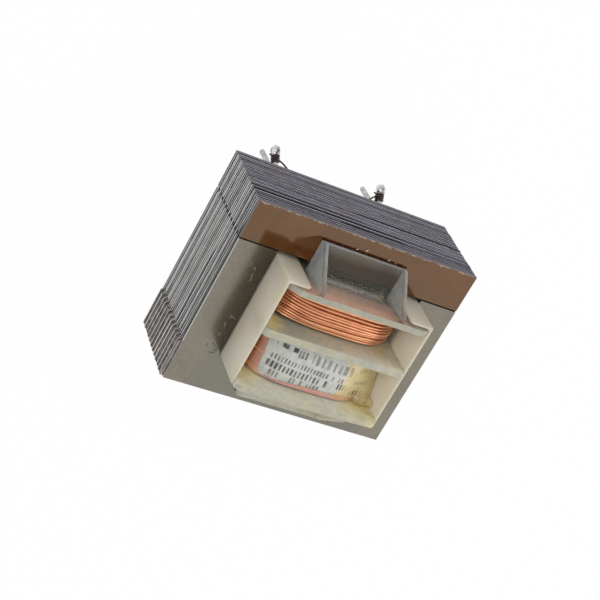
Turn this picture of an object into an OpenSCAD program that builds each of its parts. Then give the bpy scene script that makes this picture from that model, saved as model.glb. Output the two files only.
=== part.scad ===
// Small EI30 mains transformer for a printed circuit board.
// Millimetres, +Z up, pins down. The origin is under the middle of the core, at the tips of the
// board pins. -Y is the long side where the top sheet shows its I plate.

/* [Core] */
// Width of the core across its three legs
core_w = 30; // [29.5:0.1:30.5]
// Width of the yokes and of the outer legs; the centre leg is twice as wide
yoke_w = 5; // [4.9:0.05:5.1]
// Length of the two windows
window_l = 15; // [14.9:0.05:15.1]
// Gap at the joint between an E plate and its I plate
joint_gap = 0.2; // [0.05:0.05:0.2]
// Number of sheets in the stack
sheets = 25; // [23:2:27]
// Height that each sheet takes up in the stack
sheet_pitch = 0.5; // [0.5:0.01:0.52]
// Thickness of one sheet
sheet_t = 0.47; // [0.4:0.01:0.47]
// How far the reversed I plates stand out to one side
i_shift = 0.35; // [0:0.05:0.4]
// How far a sheet may lie out of line
jog = 0.04; // [0:0.01:0.05]

/* [Bobbin] */
// Thickness of the tube around the centre leg
tube_t = 0.7; // [0.5:0.05:0.8]
// Thickness of the two end flanges
flange_t = 0.75; // [0.6:0.05:0.8]
// How far the flanges reach above and below the core
flange_reach = 6; // [5.5:0.1:6]
// How much further the flange at the +Y end reaches above the core
tall_flange = 0.7; // [0:0.1:0.8]
// How far that flange is bowed outwards by the winding
bow = 0.2; // [0.05:0.05:0.5]
// Thickness of the middle flange
split_t = 1; // [0.75:0.05:1.05]
// Width of the flanges
flange_w = 19; // [18.6:0.1:19]
// Distance over the two end flanges
bobbin_l = 13.9; // [13.8:0.05:13.9]
// How far the bobbin sits towards +Y in the windows
bobbin_y = 0.45; // [0.4:0.01:0.45]
// Place of the middle flange along the tube
split_y = -0.15; // [-0.6:0.05:0.3]
// Size of the cut on one corner of the flange at the -Y end, along its edge
corner_x = 1.7; // [1:0.1:2]
// Size of the same cut, down its side
corner_z = 1.5; // [1:0.1:2]
// Outer width of the pocket on each end flange
pocket_w = 11.6; // [11:0.1:12]
// Thickness of the pocket's walls
pocket_t = 0.65; // [0.5:0.05:0.8]
// How far the pocket's floor runs out over the core
pocket_l = 4.2; // [4:0.1:4.4]

/* [Shrouds] */
// Thickness of the two insulating shrouds
shroud_t = 0.3; // [0.25:0.05:0.3]
// Width over both shrouds
shroud_w = 19.7; // [19.7:0.05:19.8]
// How far the shrouds reach above and below the core
shroud_reach = 5.7; // [5.2:0.1:5.8]
// How far a shroud's flap reaches over the end flange
flap_w = 3.05; // [2:0.05:3.2]

/* [Windings] */
// Depth of the mains winding over the tube
primary_h = 2.9; // [2.5:0.1:3]
// Depth of the low-voltage winding over the tube
secondary_h = 2.5; // [2:0.1:3]
// How far the windings swell at the middle of each side
swell = 0.5; // [0.2:0.1:0.6]

/* [Terminals] */
// Distance between the pins across the core
pin_pitch_x = 15; // [14:0.5:16]
// Distance between the pins along the core
pin_pitch_y = 20; // [20:0.1:20.2]
// How far the pins sit towards +Y
pin_shift = 0.15; // [0:0.05:0.2]
// Radius of the pins
pin_r = 0.35; // [0.3:0.01:0.4]
// Length of pin below the feet
pin_below = 3.5; // [3:0.1:4]
// Height of the feet under the end flanges
foot_h = 0.5; // [0.3:0.1:0.6]
// Angle of the winding posts below level
post_angle = 45; // [35:1:50]
// Length of the winding posts outside their bosses
post_l = 3.1; // [2.8:0.1:3.2]

/* [Hidden] */
$fn = 48;
eps = 0.01;

core_l = window_l + 2 * yoke_w + joint_gap;
leg_end = -core_l / 2 + yoke_w + joint_gap;
window_w = (core_w - 4 * yoke_w) / 2;
window_x = yoke_w + window_w / 2;
core_h = sheets * sheet_pitch;
core_z = pin_below + foot_h + flange_reach;
mid_z = core_z + core_h / 2;
top_z = core_z + core_h;
dx = rands(-jog, jog, sheets, 11);
dy = rands(-jog, jog, sheets, 23);

tube_fit = 0.15;
tube_w = 2 * (yoke_w + tube_fit + tube_t);
tube_h = core_h + 2 * (tube_fit + tube_t);
low_y = bobbin_y - bobbin_l / 2;
high_y = bobbin_y + bobbin_l / 2;

rail_h = 2.2;
rail_w = 17.2;
rail_neck = 13.6;
rail_gap = 0.8;
rail_out = 10.6;
boss_w = 1.7;
boss_z = core_z - 4.8;
foot_w = 2.4;
foot_x = 6.9;
flap_fit = 0.27;
shroud_end = 7.55;
flap_cut = 0.3;
post_lean = 0.5;
flange_bend = 1;
small_cut = 0.5;
gusset_top = 0.7;

squareness = 3.6;
winding_side = 3.15;
ring_n = 64;
ring_rows = 10;
label_t = 0.12;
label_lift = 0.03;
label_x = 7;
label_low = top_z - 4;
label_slant = 0.5;
label_cut = 0.5;
label_askew = 0.55;

leg_top = core_z - 1;
shank_z = pin_below + 0.7;
bend_z = core_z - 3.2;
tip_h = 0.3;
wrap_from = 0.9;
wrap_l = 1.5;
wrap_r = 0.6;
solder_r = 0.55;

lead_r = 0.12;
lead_n = 8;
lead_rows = 14;
lead_x = 3.6;
lead_slot = 0.6;
lead_drop = 2.6;
lead_end = 0.55;
lead_reach = 3.4;
lead_bend = 1.4;

// One sheet's two plates, seen from above

module e_outline() {
    difference() {
        translate([-core_w / 2, leg_end]) square([core_w, core_l / 2 - leg_end]);
        for (side = [-1, 1]) translate([side * window_x - window_w / 2, leg_end - 1])
            square([window_w, window_l + 1]);
    }
}

module i_outline() {
    translate([-core_w / 2, -core_l / 2]) square([core_w, yoke_w]);
}

// Puts a plate at its level in the stack; odd sheets are turned end for end
module sheet(i) {
    translate([dx[i], dy[i], core_z + i * sheet_pitch]) mirror([0, i % 2, 0])
        linear_extrude(sheet_t) children();
}

module outer_e_plates() {
    color("#7d7869") for (i = [0, sheets - 1]) sheet(i) e_outline();
}

module inner_e_plates() {
    color("#82848a") for (i = [2 : 2 : sheets - 3]) sheet(i) e_outline();
}

module reversed_e_plates() {
    color("#74767c") for (i = [1 : 2 : sheets - 2]) sheet(i) e_outline();
}

module outer_i_plates() {
    color("#73553c") for (i = [0, sheets - 1]) sheet(i) i_outline();
}

module inner_i_plates() {
    color("#6f7178") for (i = [2 : 2 : sheets - 3]) sheet(i) i_outline();
}

module reversed_i_plates() {
    color("#8d8784") for (i = [1 : 2 : sheets - 2]) translate([i_shift, 0, 0]) sheet(i) i_outline();
}

// The bobbin: a square tube with three flanges, a pocket over each end of the core and a pin
// rail under it

// Flange seen from -Y, from low to high, with a cut of cx by cz at its top right corner
module flange_outline(low, high, cx = corner_x, cz = corner_z) {
    w = flange_w / 2;
    polygon([
        [-w, low + small_cut], [-w + small_cut, low], [w - small_cut, low], [w, low + small_cut],
        [w, high - cz], [w - cx, high], [-w + small_cut, high], [-w, high - small_cut],
    ]);
}

// Stands an outline in X and Z up as a plate from y to y + t
module upright(y, t) {
    translate([0, y + t, 0]) rotate([90, 0, 0]) linear_extrude(t) children();
}

// The flange at the +Y end, bowed outwards above the core
module bowed_flange(low, high) {
    r = (flange_w * flange_w / 4 + bow * bow) / (2 * bow);
    y = high_y - flange_t;
    difference() {
        upright(y, flange_t) flange_outline(low, high, small_cut, small_cut);
        translate([-flange_w, y - 1, top_z + flange_bend]) cube([2 * flange_w, 3, flange_reach]);
    }
    intersection() {
        upright(y, 2) flange_outline(low, high, small_cut, small_cut);
        translate([0, high_y + bow - r, top_z + flange_bend - eps]) difference() {
            cylinder(r = r, h = flange_reach, $fn = 200);
            translate([0, 0, -1]) cylinder(r = r - flange_t, h = flange_reach + 2, $fn = 200);
        }
    }
}

// Side wall of a pocket, from the flange's face at y out to y + pocket_l
module gusset(x, y) {
    z = top_z + tube_fit;
    translate([x - pocket_t / 2, 0, 0]) rotate([90, 0, 90]) linear_extrude(pocket_t) polygon([
        [y - eps, z], [y + pocket_l, z], [y + pocket_l, z + pocket_t],
        [y + gusset_top, top_z + flange_reach], [y - eps, top_z + flange_reach],
    ]);
}

// Floor and two side walls over the core, from the flange's face at y
module pocket(y) {
    translate([-pocket_w / 2, y - eps, top_z + tube_fit]) cube([pocket_w, pocket_l, pocket_t]);
    for (side = [-1, 1]) gusset(side * (pocket_w - pocket_t) / 2, y);
}

// Rail and two pin bosses under the core, from the flange's face at y
module pin_rail(y, out) {
    z = core_z - tube_fit - rail_h;
    translate([-rail_neck / 2, y - eps, z]) cube([rail_neck, out - y, rail_h]);
    translate([-rail_w / 2, y + rail_gap, z]) cube([rail_w, out - y - rail_gap, rail_h]);
    for (side = [-1, 1]) translate([side * pin_pitch_x / 2 - boss_w / 2, out - boss_w, boss_z])
        cube([boss_w, boss_w, z - boss_z + eps]);
}

module feet() {
    for (x = [-foot_x, foot_x - foot_w], y = [low_y, high_y - flange_t])
        translate([x, y, pin_below]) cube([foot_w, flange_t, foot_h + 1]);
}

// Slot for a lead, up from the lower edge of the flange at y
module lead_room(x, y) {
    low = core_z - flange_reach - 1;
    translate([x - lead_slot / 2, y - 1, low])
        cube([lead_slot, flange_t + 2, core_z - lead_drop + 2 * lead_r - low]);
}

module bobbin_solid() {
    low = core_z - flange_reach;
    high = top_z + flange_reach;
    translate([-tube_w / 2, low_y, mid_z - tube_h / 2]) cube([tube_w, bobbin_l, tube_h]);
    upright(low_y, flange_t) flange_outline(low, high);
    upright(split_y - split_t / 2, split_t) flange_outline(low, high, small_cut, small_cut);
    bowed_flange(low, high + tall_flange);
    mirror([0, 1, 0]) {
        pocket(-low_y);
        pin_rail(-low_y, rail_out - pin_shift);
    }
    pocket(high_y);
    pin_rail(high_y, rail_out + pin_shift);
    feet();
}

module bobbin() {
    bore_w = 2 * (yoke_w + tube_fit);
    bore_h = core_h + 2 * tube_fit;
    color("#cfcdc6") difference() {
        bobbin_solid();
        translate([-bore_w / 2, -core_l / 2, mid_z - bore_h / 2]) cube([bore_w, core_l, bore_h]);
        for (x = [-1, 1], y = [-1, 1]) terminal_room(x, y);
        for (x = [-lead_x, lead_x], y = [low_y, high_y - flange_t]) lead_room(x, y);
    }
}

// The shrouds: a channel on each side, between the windings and the outer legs, with a flap
// over the flange at the -Y end

module right_shroud() {
    w = shroud_w / 2;
    y = low_y - flap_fit - shroud_t;
    low = core_z - shroud_reach;
    h = core_h + 2 * shroud_reach;
    color("#d0c8ae") {
        translate([-w, y, low]) cube([shroud_t, shroud_end - y, h]);
        upright(y, shroud_t) translate([-w, low]) polygon([
            [0, 0], [flap_w - flap_cut, 0], [flap_w, flap_cut],
            [flap_w, h - flap_cut], [flap_w - flap_cut, h], [0, h],
        ]);
    }
}

module left_shroud() {
    mirror([1, 0, 0]) right_shroud();
}

// The windings: rings around the tube whose outline is a rounded box that swells in the middle

// Point of the outline at angle a, for half sizes w and h
function outline_point(a, w, h) = [
    w * sign(cos(a)) * pow(abs(cos(a)), 2 / squareness),
    h * sign(sin(a)) * pow(abs(sin(a)), 2 / squareness),
];

// How much of the swell is left at t, which runs from -1 to 1 across the chamber
function swell_at(t) = 1 - t * t;

// Ring of points at y, out from a winding of the given depth by d, over the angles in list a
function winding_ring(y, a, depth, t, d) = [
    for (angle = a) let (
        s = depth - swell + swell * 2 * swell_at(t) + d,
        p = outline_point(angle, tube_w / 2 + winding_side + d, tube_h / 2 + s)
    ) [p[0], y, mid_z + p[1]]
];

// Closed skin over rings of n points each
module skin(rings, n) {
    last = len(rings) - 1;
    points = [for (ring = rings) each ring];
    sides = [for (r = [0 : last - 1], i = [0 : n - 1])
        let (j = (i + 1) % n) each [
            [r * n + i, r * n + j, (r + 1) * n + j],
            [r * n + i, (r + 1) * n + j, (r + 1) * n + i],
        ]];
    polyhedron(points, concat(sides, [[for (i = [n - 1 : -1 : 0]) i], [for (i = [0 : n - 1]) last * n + i]]));
}

module winding(y0, y1, depth) {
    angles = [for (i = [0 : ring_n - 1]) i * 360 / ring_n];
    difference() {
        skin([for (k = [0 : ring_rows]) let (t = 2 * k / ring_rows - 1)
            winding_ring(y0 + (y1 - y0) * k / ring_rows, angles, depth, t, 0)], ring_n);
        translate([-tube_w / 2 - eps, y0 - 1, mid_z - tube_h / 2 - eps])
            cube([tube_w + 2 * eps, y1 - y0 + 2, tube_h + 2 * eps]);
    }
}

module primary_winding() {
    color("#a8583a") winding(split_y + split_t / 2 + eps, high_y - flange_t - eps, primary_h);
}

module secondary_winding() {
    color("#c8743f") winding(low_y + flange_t + eps, split_y - split_t / 2 - eps, secondary_h);
}

// The label: a paper strip laid askew over the top of the mains winding and round one corner

// Skin that follows the mains winding at distance d, between y0 and y1
module primary_cover(y0, y1, d) {
    wall_0 = split_y + split_t / 2;
    wall_1 = high_y - flange_t;
    angles = [for (i = [0 : ring_n - 1]) i * 360 / ring_n];
    skin([for (k = [0 : ring_rows])
        let (y = y0 + (y1 - y0) * k / ring_rows, t = 2 * (y - wall_0) / (wall_1 - wall_0) - 1)
        winding_ring(y, angles, primary_h, t, d)], ring_n);
}

module label() {
    y0 = split_y + split_t / 2 + 0.1;
    y1 = high_y - flange_t - 0.1;
    color("#d9d6cf") intersection() {
        difference() {
            primary_cover(y0, y1, label_lift + label_t);
            primary_cover(y0 - 1, y1 + 1, label_lift);
        }
        translate([0, 0, label_low]) linear_extrude(core_h) polygon([
            [label_x, y0 - 1], [label_x, y0], [label_x - label_slant, y1 - label_cut],
            [label_x - label_slant - label_cut, y1], [-label_x, y1 - label_askew],
            [-core_w, y1 - 2 * label_askew], [-core_w, y0 - 1],
        ]);
    }
}

// The terminals: a bent pin in each boss, with a leg for the board and a post for the wire

module along(from, to) {
    v = to - from;
    translate(from) rotate([0, acos(v[2] / norm(v)), atan2(v[1], v[0])]) children();
}

function terminal_at(x, y) = [x * pin_pitch_x / 2, y * pin_pitch_y / 2 + pin_shift, 0];
function post_foot(x, y) = terminal_at(x, y) + [0, 0, bend_z];
function post_tip(x, y) = post_foot(x, y) + [x > 0 ? post_lean : 0, 0, 0]
    + (post_l + boss_w / 2) * [0, y * cos(post_angle), -sin(post_angle)];

module post_rod(x, y, r) {
    along(post_foot(x, y), post_tip(x, y)) cylinder(r = r, h = post_l + boss_w / 2);
}

// Round below the boss, with a square shank in it
module leg_rod(x, y, r) {
    translate(terminal_at(x, y)) {
        translate([-r, -r, shank_z]) cube([2 * r, 2 * r, leg_top - shank_z]);
        translate([0, 0, tip_h]) cylinder(r = r, h = shank_z - tip_h);
        cylinder(r1 = r / 2, r2 = r, h = tip_h);
    }
}

module terminal_room(x, y) {
    leg_rod(x, y, pin_r + eps);
    post_rod(x, y, pin_r + eps);
}

module terminal(x, y) {
    color("#b9b8b4") {
        leg_rod(x, y, pin_r);
        post_rod(x, y, pin_r);
    }
}

module wrap(x, y) {
    color("#3a2520") along(post_tip(x, y), post_foot(x, y)) translate([0, 0, wrap_from])
        difference() {
            cylinder(r = wrap_r, h = wrap_l);
            translate([0, 0, -1]) cylinder(r = pin_r + eps, h = wrap_l + 2);
        }
}

module solder(x, y) {
    color("#c9cacc") along(post_tip(x, y), post_foot(x, y)) difference() {
        translate([0, 0, solder_r - 0.35]) sphere(r = solder_r);
        cylinder(r = pin_r + eps, h = 3);
        translate([-1, -1, wrap_from - eps]) cube(2);
    }
}

// Point at t, from 0 to 1, of a smooth run steered by the four points in list p
function run_point(p, t) = pow(1 - t, 3) * p[0] + 3 * t * pow(1 - t, 2) * p[1]
    + 3 * t * t * (1 - t) * p[2] + pow(t, 3) * p[3];

// Ring of points round the run at t, square to it
function wire_ring(p, t) = let (
    d = run_point(p, t + eps) - run_point(p, t - eps),
    u = cross(d, [0, 0, 1]) / norm(cross(d, [0, 0, 1])),
    w = cross(u, d) / norm(d)
) [for (i = [0 : lead_n - 1])
    run_point(p, t) + lead_r * (cos(i * 360 / lead_n) * u + sin(i * 360 / lead_n) * w)];

// Lead from a winding, out through the slot in its flange and under the rail to its post; y0 is
// where it leaves the winding
module lead(x, y, y0) {
    start = [x * lead_x, y0, core_z - lead_drop];
    end = post_foot(x, y) + (post_tip(x, y) - post_foot(x, y)) * lead_end - [x * wrap_r, 0, 0];
    run = [start, start + [0, y * lead_reach, 0], end + [-x * lead_bend, 0, lead_bend], end];
    color("#8a3f24") skin([for (k = [0 : lead_rows]) wire_ring(run, k / lead_rows)], lead_n);
}

// Bead of hardened varnish in the corner between the label, a flange and a shroud
module varnish_drop() {
    color("#c9a645") intersection() {
        translate([-8.4, high_y - 1.6, top_z + 1.9]) rotate([0, 0, 180]) sphere(r = 1.1);
        translate([shroud_t - shroud_w / 2 + eps, 4, top_z + 0.4])
            cube([2, high_y - flange_t - 4.01, 4]);
    }
}

outer_e_plates();
inner_e_plates();
reversed_e_plates();
outer_i_plates();
inner_i_plates();
reversed_i_plates();
bobbin();
left_shroud();
right_shroud();
primary_winding();
secondary_winding();
label();
varnish_drop();
terminal(1, -1);  // terminal_1
terminal(-1, -1);  // terminal_2
terminal(1, 1);  // terminal_3
terminal(-1, 1);  // terminal_4
wrap(1, -1);  // wire_wrap_1
wrap(-1, -1);  // wire_wrap_2
wrap(1, 1);  // wire_wrap_3
wrap(-1, 1);  // wire_wrap_4
solder(1, -1);  // solder_1
solder(-1, -1);  // solder_2
solder(1, 1);  // solder_3
solder(-1, 1);  // solder_4
lead(1, -1, low_y + flange_t);  // lead_1
lead(-1, -1, low_y + flange_t);  // lead_2
lead(1, 1, high_y - flange_t);  // lead_3
lead(-1, 1, high_y - flange_t);  // lead_4
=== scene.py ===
"""A small mains transformer for a circuit board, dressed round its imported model.

Sizes are in millimetres in the row frame: +Z up, pins down, the origin under the middle of the
core, and -Y the long side where the top sheet shows its I plate. Meshes are made in metres.
"""

import logging
import math
from collections.abc import Callable, Iterable, Sequence
from dataclasses import dataclass, field
from enum import Enum

import bmesh
import bpy
from mathutils import Matrix, Vector, noise


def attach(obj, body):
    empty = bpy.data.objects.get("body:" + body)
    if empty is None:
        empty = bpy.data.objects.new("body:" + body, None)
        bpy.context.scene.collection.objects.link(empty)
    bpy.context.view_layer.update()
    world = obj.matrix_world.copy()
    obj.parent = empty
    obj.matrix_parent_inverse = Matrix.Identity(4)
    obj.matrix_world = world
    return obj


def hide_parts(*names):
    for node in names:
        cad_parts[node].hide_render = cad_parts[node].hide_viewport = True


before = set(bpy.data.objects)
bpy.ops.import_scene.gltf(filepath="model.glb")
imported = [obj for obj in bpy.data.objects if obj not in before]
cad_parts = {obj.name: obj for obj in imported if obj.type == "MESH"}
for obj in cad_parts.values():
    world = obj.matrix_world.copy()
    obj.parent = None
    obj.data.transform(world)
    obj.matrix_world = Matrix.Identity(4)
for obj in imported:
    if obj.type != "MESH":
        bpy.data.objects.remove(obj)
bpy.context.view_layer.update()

LOG = logging.getLogger("mains_transformer")
MM = 0.001
BODY = "root"

Object = bpy.types.Object
Socket = bpy.types.NodeSocket
Term = float | Socket
Terms = tuple[Term, Term]
Tone = str | Socket
Pair = tuple[float, float]
Place = tuple[float, float, float]
Rows = list[list[Vector]]


class Slot(Enum):
    """The record's material slots."""

    VARNISHED = "lacquered_steel"
    BROWN = "brown_lacquered_steel"
    EDGES = "lamination_steel"
    NYLON = "natural_nylon"
    SHROUD = "cream_shroud"
    FINE = "fine_copper_wire"
    THICK = "thick_copper_wire"
    PAPER = "label_paper"
    VARNISH = "varnish"
    PIN = "tinned_pin"
    DARK_WIRE = "enamelled_wire"
    SOLDER = "solder"


# ---------------------------------------------------------------- shader helpers


def linear(colour: str) -> tuple[float, float, float, float]:
    """Turns an sRGB colour into linear light.

    Args:
        colour: hex digits after a hash, such as "#c8a080".

    Returns:
        Red, green, blue and an alpha of 1.
    """
    parts = [int(colour[i : i + 2], 16) / 255 for i in (1, 3, 5)]
    return (*[c / 12.92 if c <= 0.04045 else ((c + 0.055) / 1.055) ** 2.4 for c in parts], 1.0)


class Graph:
    """A node tree, with short ways to add the nodes that the finishes share."""

    def __init__(self, tree: bpy.types.NodeTree) -> None:
        """Empties a material's or world's tree to fill it."""
        self.tree = tree
        tree.nodes.clear()

    def add(self, kind: str, inputs: dict | None = None, stops: Sequence = (), **settings) -> bpy.types.Node:
        """Adds a node with its settings and links.

        Args:
            kind: the node's type, without "ShaderNode".
            inputs: a value, a colour or an output socket for each input, by name or place.
            stops: for a colour ramp, its two (place, colour) pairs.
            settings: the node's own properties.

        Returns:
            The new node.
        """
        made = self.tree.nodes.new("ShaderNode" + kind)
        for name, value in settings.items():
            setattr(made, name, value)
        for key, value in (inputs or {}).items():
            if isinstance(value, Socket):
                self.tree.links.new(value, made.inputs[key])
            else:
                made.inputs[key].default_value = linear(value) if isinstance(value, str) else value
        for k, (place, tone) in enumerate(stops):
            made.color_ramp.elements[k].position = place
            made.color_ramp.elements[k].color = linear(tone)
        return made

    def out(self, kind: str, inputs: dict, **settings) -> Socket:
        """Adds a node and gives its first output."""
        return self.add(kind, inputs, **settings).outputs[0]

    def math(self, operation: str, *terms: Term) -> Socket:
        """One sum on numbers."""
        return self.out("Math", dict(enumerate(terms)), operation=operation)

    def product(self, first: Term, *shares: Term) -> Socket:
        """Multiplies shares.

        Args:
            first: the first of them.
            shares: the others.

        Returns:
            Their product.
        """
        for share in shares:
            first = self.math("MULTIPLY", first, share)
        return first

    def most(self, first: Term, *shares: Term) -> Socket:
        """Finds the greatest of some shares.

        Args:
            first: the first of them.
            shares: the others.

        Returns:
            The greatest.
        """
        for share in shares:
            first = self.math("MAXIMUM", first, share)
        return first

    def stray(self, value: Socket, by: Socket, reach: float) -> Socket:
        """A value pushed on by a noise times its reach."""
        return self.math("MULTIPLY_ADD", by, reach, value)

    def remap(self, value: Socket, span: Terms = (0.0, 1.0), onto: Terms = (0.0, 1.0)) -> Socket:
        """A value's way through a span laid onto another, and held inside it."""
        return self.out("MapRange", dict(enumerate((value, *span, *onto))))

    def vector(self, operation: str, *terms: Socket | Place) -> Socket:
        """One sum on vectors, which gives a number for a length or a distance."""
        made = self.add("VectorMath", dict(enumerate(terms)), operation=operation)
        return made.outputs["Value" if operation in ("LENGTH", "DISTANCE") else "Vector"]

    def split(self, vector: Socket) -> list[Socket]:
        """A vector's three parts."""
        return list(self.add("SeparateXYZ", {0: vector}).outputs)

    def stretch(self, place: Socket, scale: Place) -> Socket:
        """Places scaled by a factor for each axis."""
        return self.out("Mapping", {"Vector": place, "Scale": scale})

    def noise(self, place: Socket, scale: float, detail: float, roughness: float = 0.5) -> Socket:
        """Soft noise from 0 to 1 at a place."""
        inputs = {"Vector": place, "Scale": scale, "Detail": detail, "Roughness": roughness}
        return self.out("TexNoise", inputs)

    def chance(self, number: Socket) -> bpy.types.Node:
        """White noise for a whole number: one value, and a colour with three more."""
        return self.add("TexWhiteNoise", {"W": number}, noise_dimensions="1D")

    def ramp(self, value: Socket, low: tuple[float, str], high: tuple[float, str]) -> Socket:
        """A colour between two (place, colour) stops."""
        return self.out("ValToRGB", {0: value}, stops=(low, high))

    def mix(self, share: Term, first: Tone, second: Tone, blend: str = "MIX") -> Socket:
        """Two colours mixed by the second one's share."""
        inputs = {0: share, 6: first, 7: second}
        return self.add("Mix", inputs, data_type="RGBA", blend_type=blend).outputs[2]

    def bump(self, height: Socket, strength: float, depth: float) -> Socket:
        """The shading of a relief whose depth is in millimetres."""
        return self.out("Bump", {"Strength": strength, "Distance": depth * MM, "Height": height})

    def skin(self, colour: Socket, roughness: Term, **others: Term | str) -> Socket:
        """The main shader; its other inputs are named with _ for a space."""
        named = {name.replace("_", " "): value for name, value in others.items()}
        return self.out("BsdfPrincipled", {"Base Color": colour, "Roughness": roughness, **named})

    def blend(self, share: Term, first: Socket, second: Socket) -> Socket:
        """Two shaders mixed by the second one's share."""
        return self.out("MixShader", {0: share, 1: first, 2: second})

    def facing(self) -> Socket:
        """0 on a face seen square on and 1 on one seen edge on."""
        return self.add("LayerWeight", {"Blend": 0.5}).outputs["Facing"]

    def normal(self) -> list[Socket]:
        """The three parts of a face's direction."""
        return self.split(self.add("TexCoord").outputs["Normal"])

    def rim(self) -> Socket:
        """1 on upright faces, such as a sheet's edge, and 0 on level ones."""
        return self.remap(self.math("ABSOLUTE", self.normal()[2]), (0.7, 0.4))

    def millimetres(self) -> Socket:
        """Places on the piece, in millimetres in the row frame."""
        place = self.add("TexCoord").outputs["Object"]
        return self.out("VectorMath", {0: place, "Scale": 1 / MM}, operation="SCALE")

    def tone(self) -> Socket:
        """The tone that a piece's mesh carries."""
        return self.add("Attribute", attribute_name="tone").outputs["Fac"]


# ---------------------------------------------------------------- finishes


@dataclass(frozen=True)
class Finish:
    """What every finish shares: a name and one material made from its shader."""

    name: str = "finish"

    def material(self) -> bpy.types.Material:
        """The finish's material, made once.

        Returns:
            The material.
        """
        made = bpy.data.materials.get(self.name)
        if made is None:
            made = bpy.data.materials.new(self.name)
            made.use_nodes = True
            g = Graph(made.node_tree)
            g.add("OutputMaterial", {"Surface": self.surface(g)})
        return made

    def surface(self, g: Graph) -> Socket:
        """The shader of the finish, added to a material's graph; each finish has its own."""
        raise NotImplementedError


@dataclass(frozen=True)
class Gap:
    """A place where one sheet stands off the next: which sheet, where, how far it reaches and
    whether it is on a long side."""

    sheet: float
    place: Pair
    reach: float
    long_side: bool = True


@dataclass(frozen=True)
class SheetEdges(Finish):
    """Silicon steel sheet, punched and stacked: half of each edge is sheared bright and half torn
    dull, and no two sheets match, so the stack reads as uneven fine stripes."""

    name: str = "punched_silicon_steel"
    bright: str = "#e2e1df"
    dull: str = "#7e7d79"
    seam: str = "#040404"
    lacquered: str = "#bdbac8"
    rust: str = "#8e685c"
    low: float = 10.0
    pitch: float = 0.5
    # streaks about 1.5 mm long and a tenth of a sheet high, as the punch leaves them
    streak: Place = (0.7, 0.7, 9.0)
    smudge: Place = (0.25, 0.25, 1.7)
    rough: Pair = (0.38, 0.6)
    metallic: float = 0.6
    # the burr's shadow takes nearly half of a sheet, and more where the sheets stand apart
    seam_closed: float = 0.6
    seam_open: float = 0.26
    seam_soft: float = 0.1
    joint: float = -7.5
    joint_half: float = 0.2
    gaps: tuple[Gap, ...] = (
        Gap(18.0, (15.0, -12.6), 24.0), Gap(16.0, (14.0, -12.6), 17.0),
        Gap(20.0, (-1.0, -12.6), 5.0), Gap(12.0, (-7.0, -12.6), 8.0),
        Gap(23.0, (15.0, -1.0), 9.5, False), Gap(16.0, (15.0, 2.0), 6.0, False),
    )

    def apart(self, g: Graph, mm: Socket, sheet: Socket, sided: Socket, ended: Socket) -> Socket:
        """How far each sheet stands off the next.

        Args:
            g: the material's graph.
            mm: places in millimetres.
            sheet: the sheet's number.
            sided: 1 on the long sides.
            ended: 1 on the short sides.

        Returns:
            From 0 for a closed seam to 1 for an open one.
        """
        apart = g.remap(g.chance(g.math("ADD", sheet, 7.3)).outputs[0], (0.75, 0.95), (0.0, 0.3))
        flat = g.vector("MULTIPLY", mm, (1.0, 1.0, 0.0))
        for gap in self.gaps:
            off = g.vector("DISTANCE", flat, (*gap.place, 0.0))
            near = g.remap(off, (0.75 * gap.reach, gap.reach), (1.0, 0.0))
            here = g.product(g.math("COMPARE", sheet, gap.sheet, 0.4), near)
            apart = g.most(apart, g.product(here, sided if gap.long_side else ended))
        return apart

    def surface(self, g: Graph) -> Socket:
        """Stripes by sheet, streaks along them, painted shadow in the seams, and a tint on the long sides
        that is partly lacquer and rust and partly painted shade.

        Args:
            g: the material's graph.

        Returns:
            The shader.
        """
        mm = g.millimetres()
        _, y, z = g.split(mm)
        level = g.math("DIVIDE", g.math("SUBTRACT", z, self.low), self.pitch)
        sheet, within = g.math("FLOOR", level), g.math("FRACT", level)
        streak = g.noise(g.stretch(mm, self.streak), scale=1.0, detail=3.0, roughness=0.65)
        mixed = g.stray(g.math("MULTIPLY", streak, 0.7), g.chance(sheet).outputs[0], 0.3)
        mixed = g.stray(mixed, g.noise(mm, scale=5.0, detail=2.0), 0.5)
        steel = g.ramp(mixed, (0.52, self.dull), (0.95, self.bright))
        sided = g.math("ABSOLUTE", g.normal()[1])
        ended = g.math("SUBTRACT", 1.0, sided)
        wide = g.remap(self.apart(g, mm, sheet, sided, ended), onto=(self.seam_closed, self.seam_open))
        begin = g.math("SUBTRACT", wide, self.seam_soft)
        # painted shadow in the seams between the sheets, wider where they stand apart
        seam = g.product(g.remap(within, (begin, wide)), g.rim())
        # every second sheet has its joint on this end, rounded off and painted as dark as the seams: painted
        # shade in the joint
        turned = g.math("LESS_THAN", g.math("MODULO", sheet, 2.0), 0.5)
        joint = g.product(g.math("COMPARE", y, self.joint, self.joint_half), turned, ended)
        seam = g.most(seam, joint)
        stain = g.noise(g.stretch(mm, self.smudge), scale=1.0, detail=3.0)
        # the long sides take a bluish tint that is partly their lacquer and rust and partly painted shade
        lacquer = g.mix(g.remap(stain, (0.52, 0.72), (0.0, 0.55)), self.lacquered, self.rust)
        colour = g.mix(1.0, steel, g.mix(sided, "#ffffff", lacquer), blend="MULTIPLY")
        colour = g.mix(seam, colour, self.seam)
        rough = g.remap(streak, (0.3, 0.7), self.rough)
        metal = g.remap(seam, onto=(self.metallic, 0.0))
        bump = g.bump(g.math("SUBTRACT", mixed, seam), strength=0.5, depth=0.03)
        return g.skin(colour, rough, Metallic=metal, Normal=bump, Specular_IOR_Level=0.0)


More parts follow.
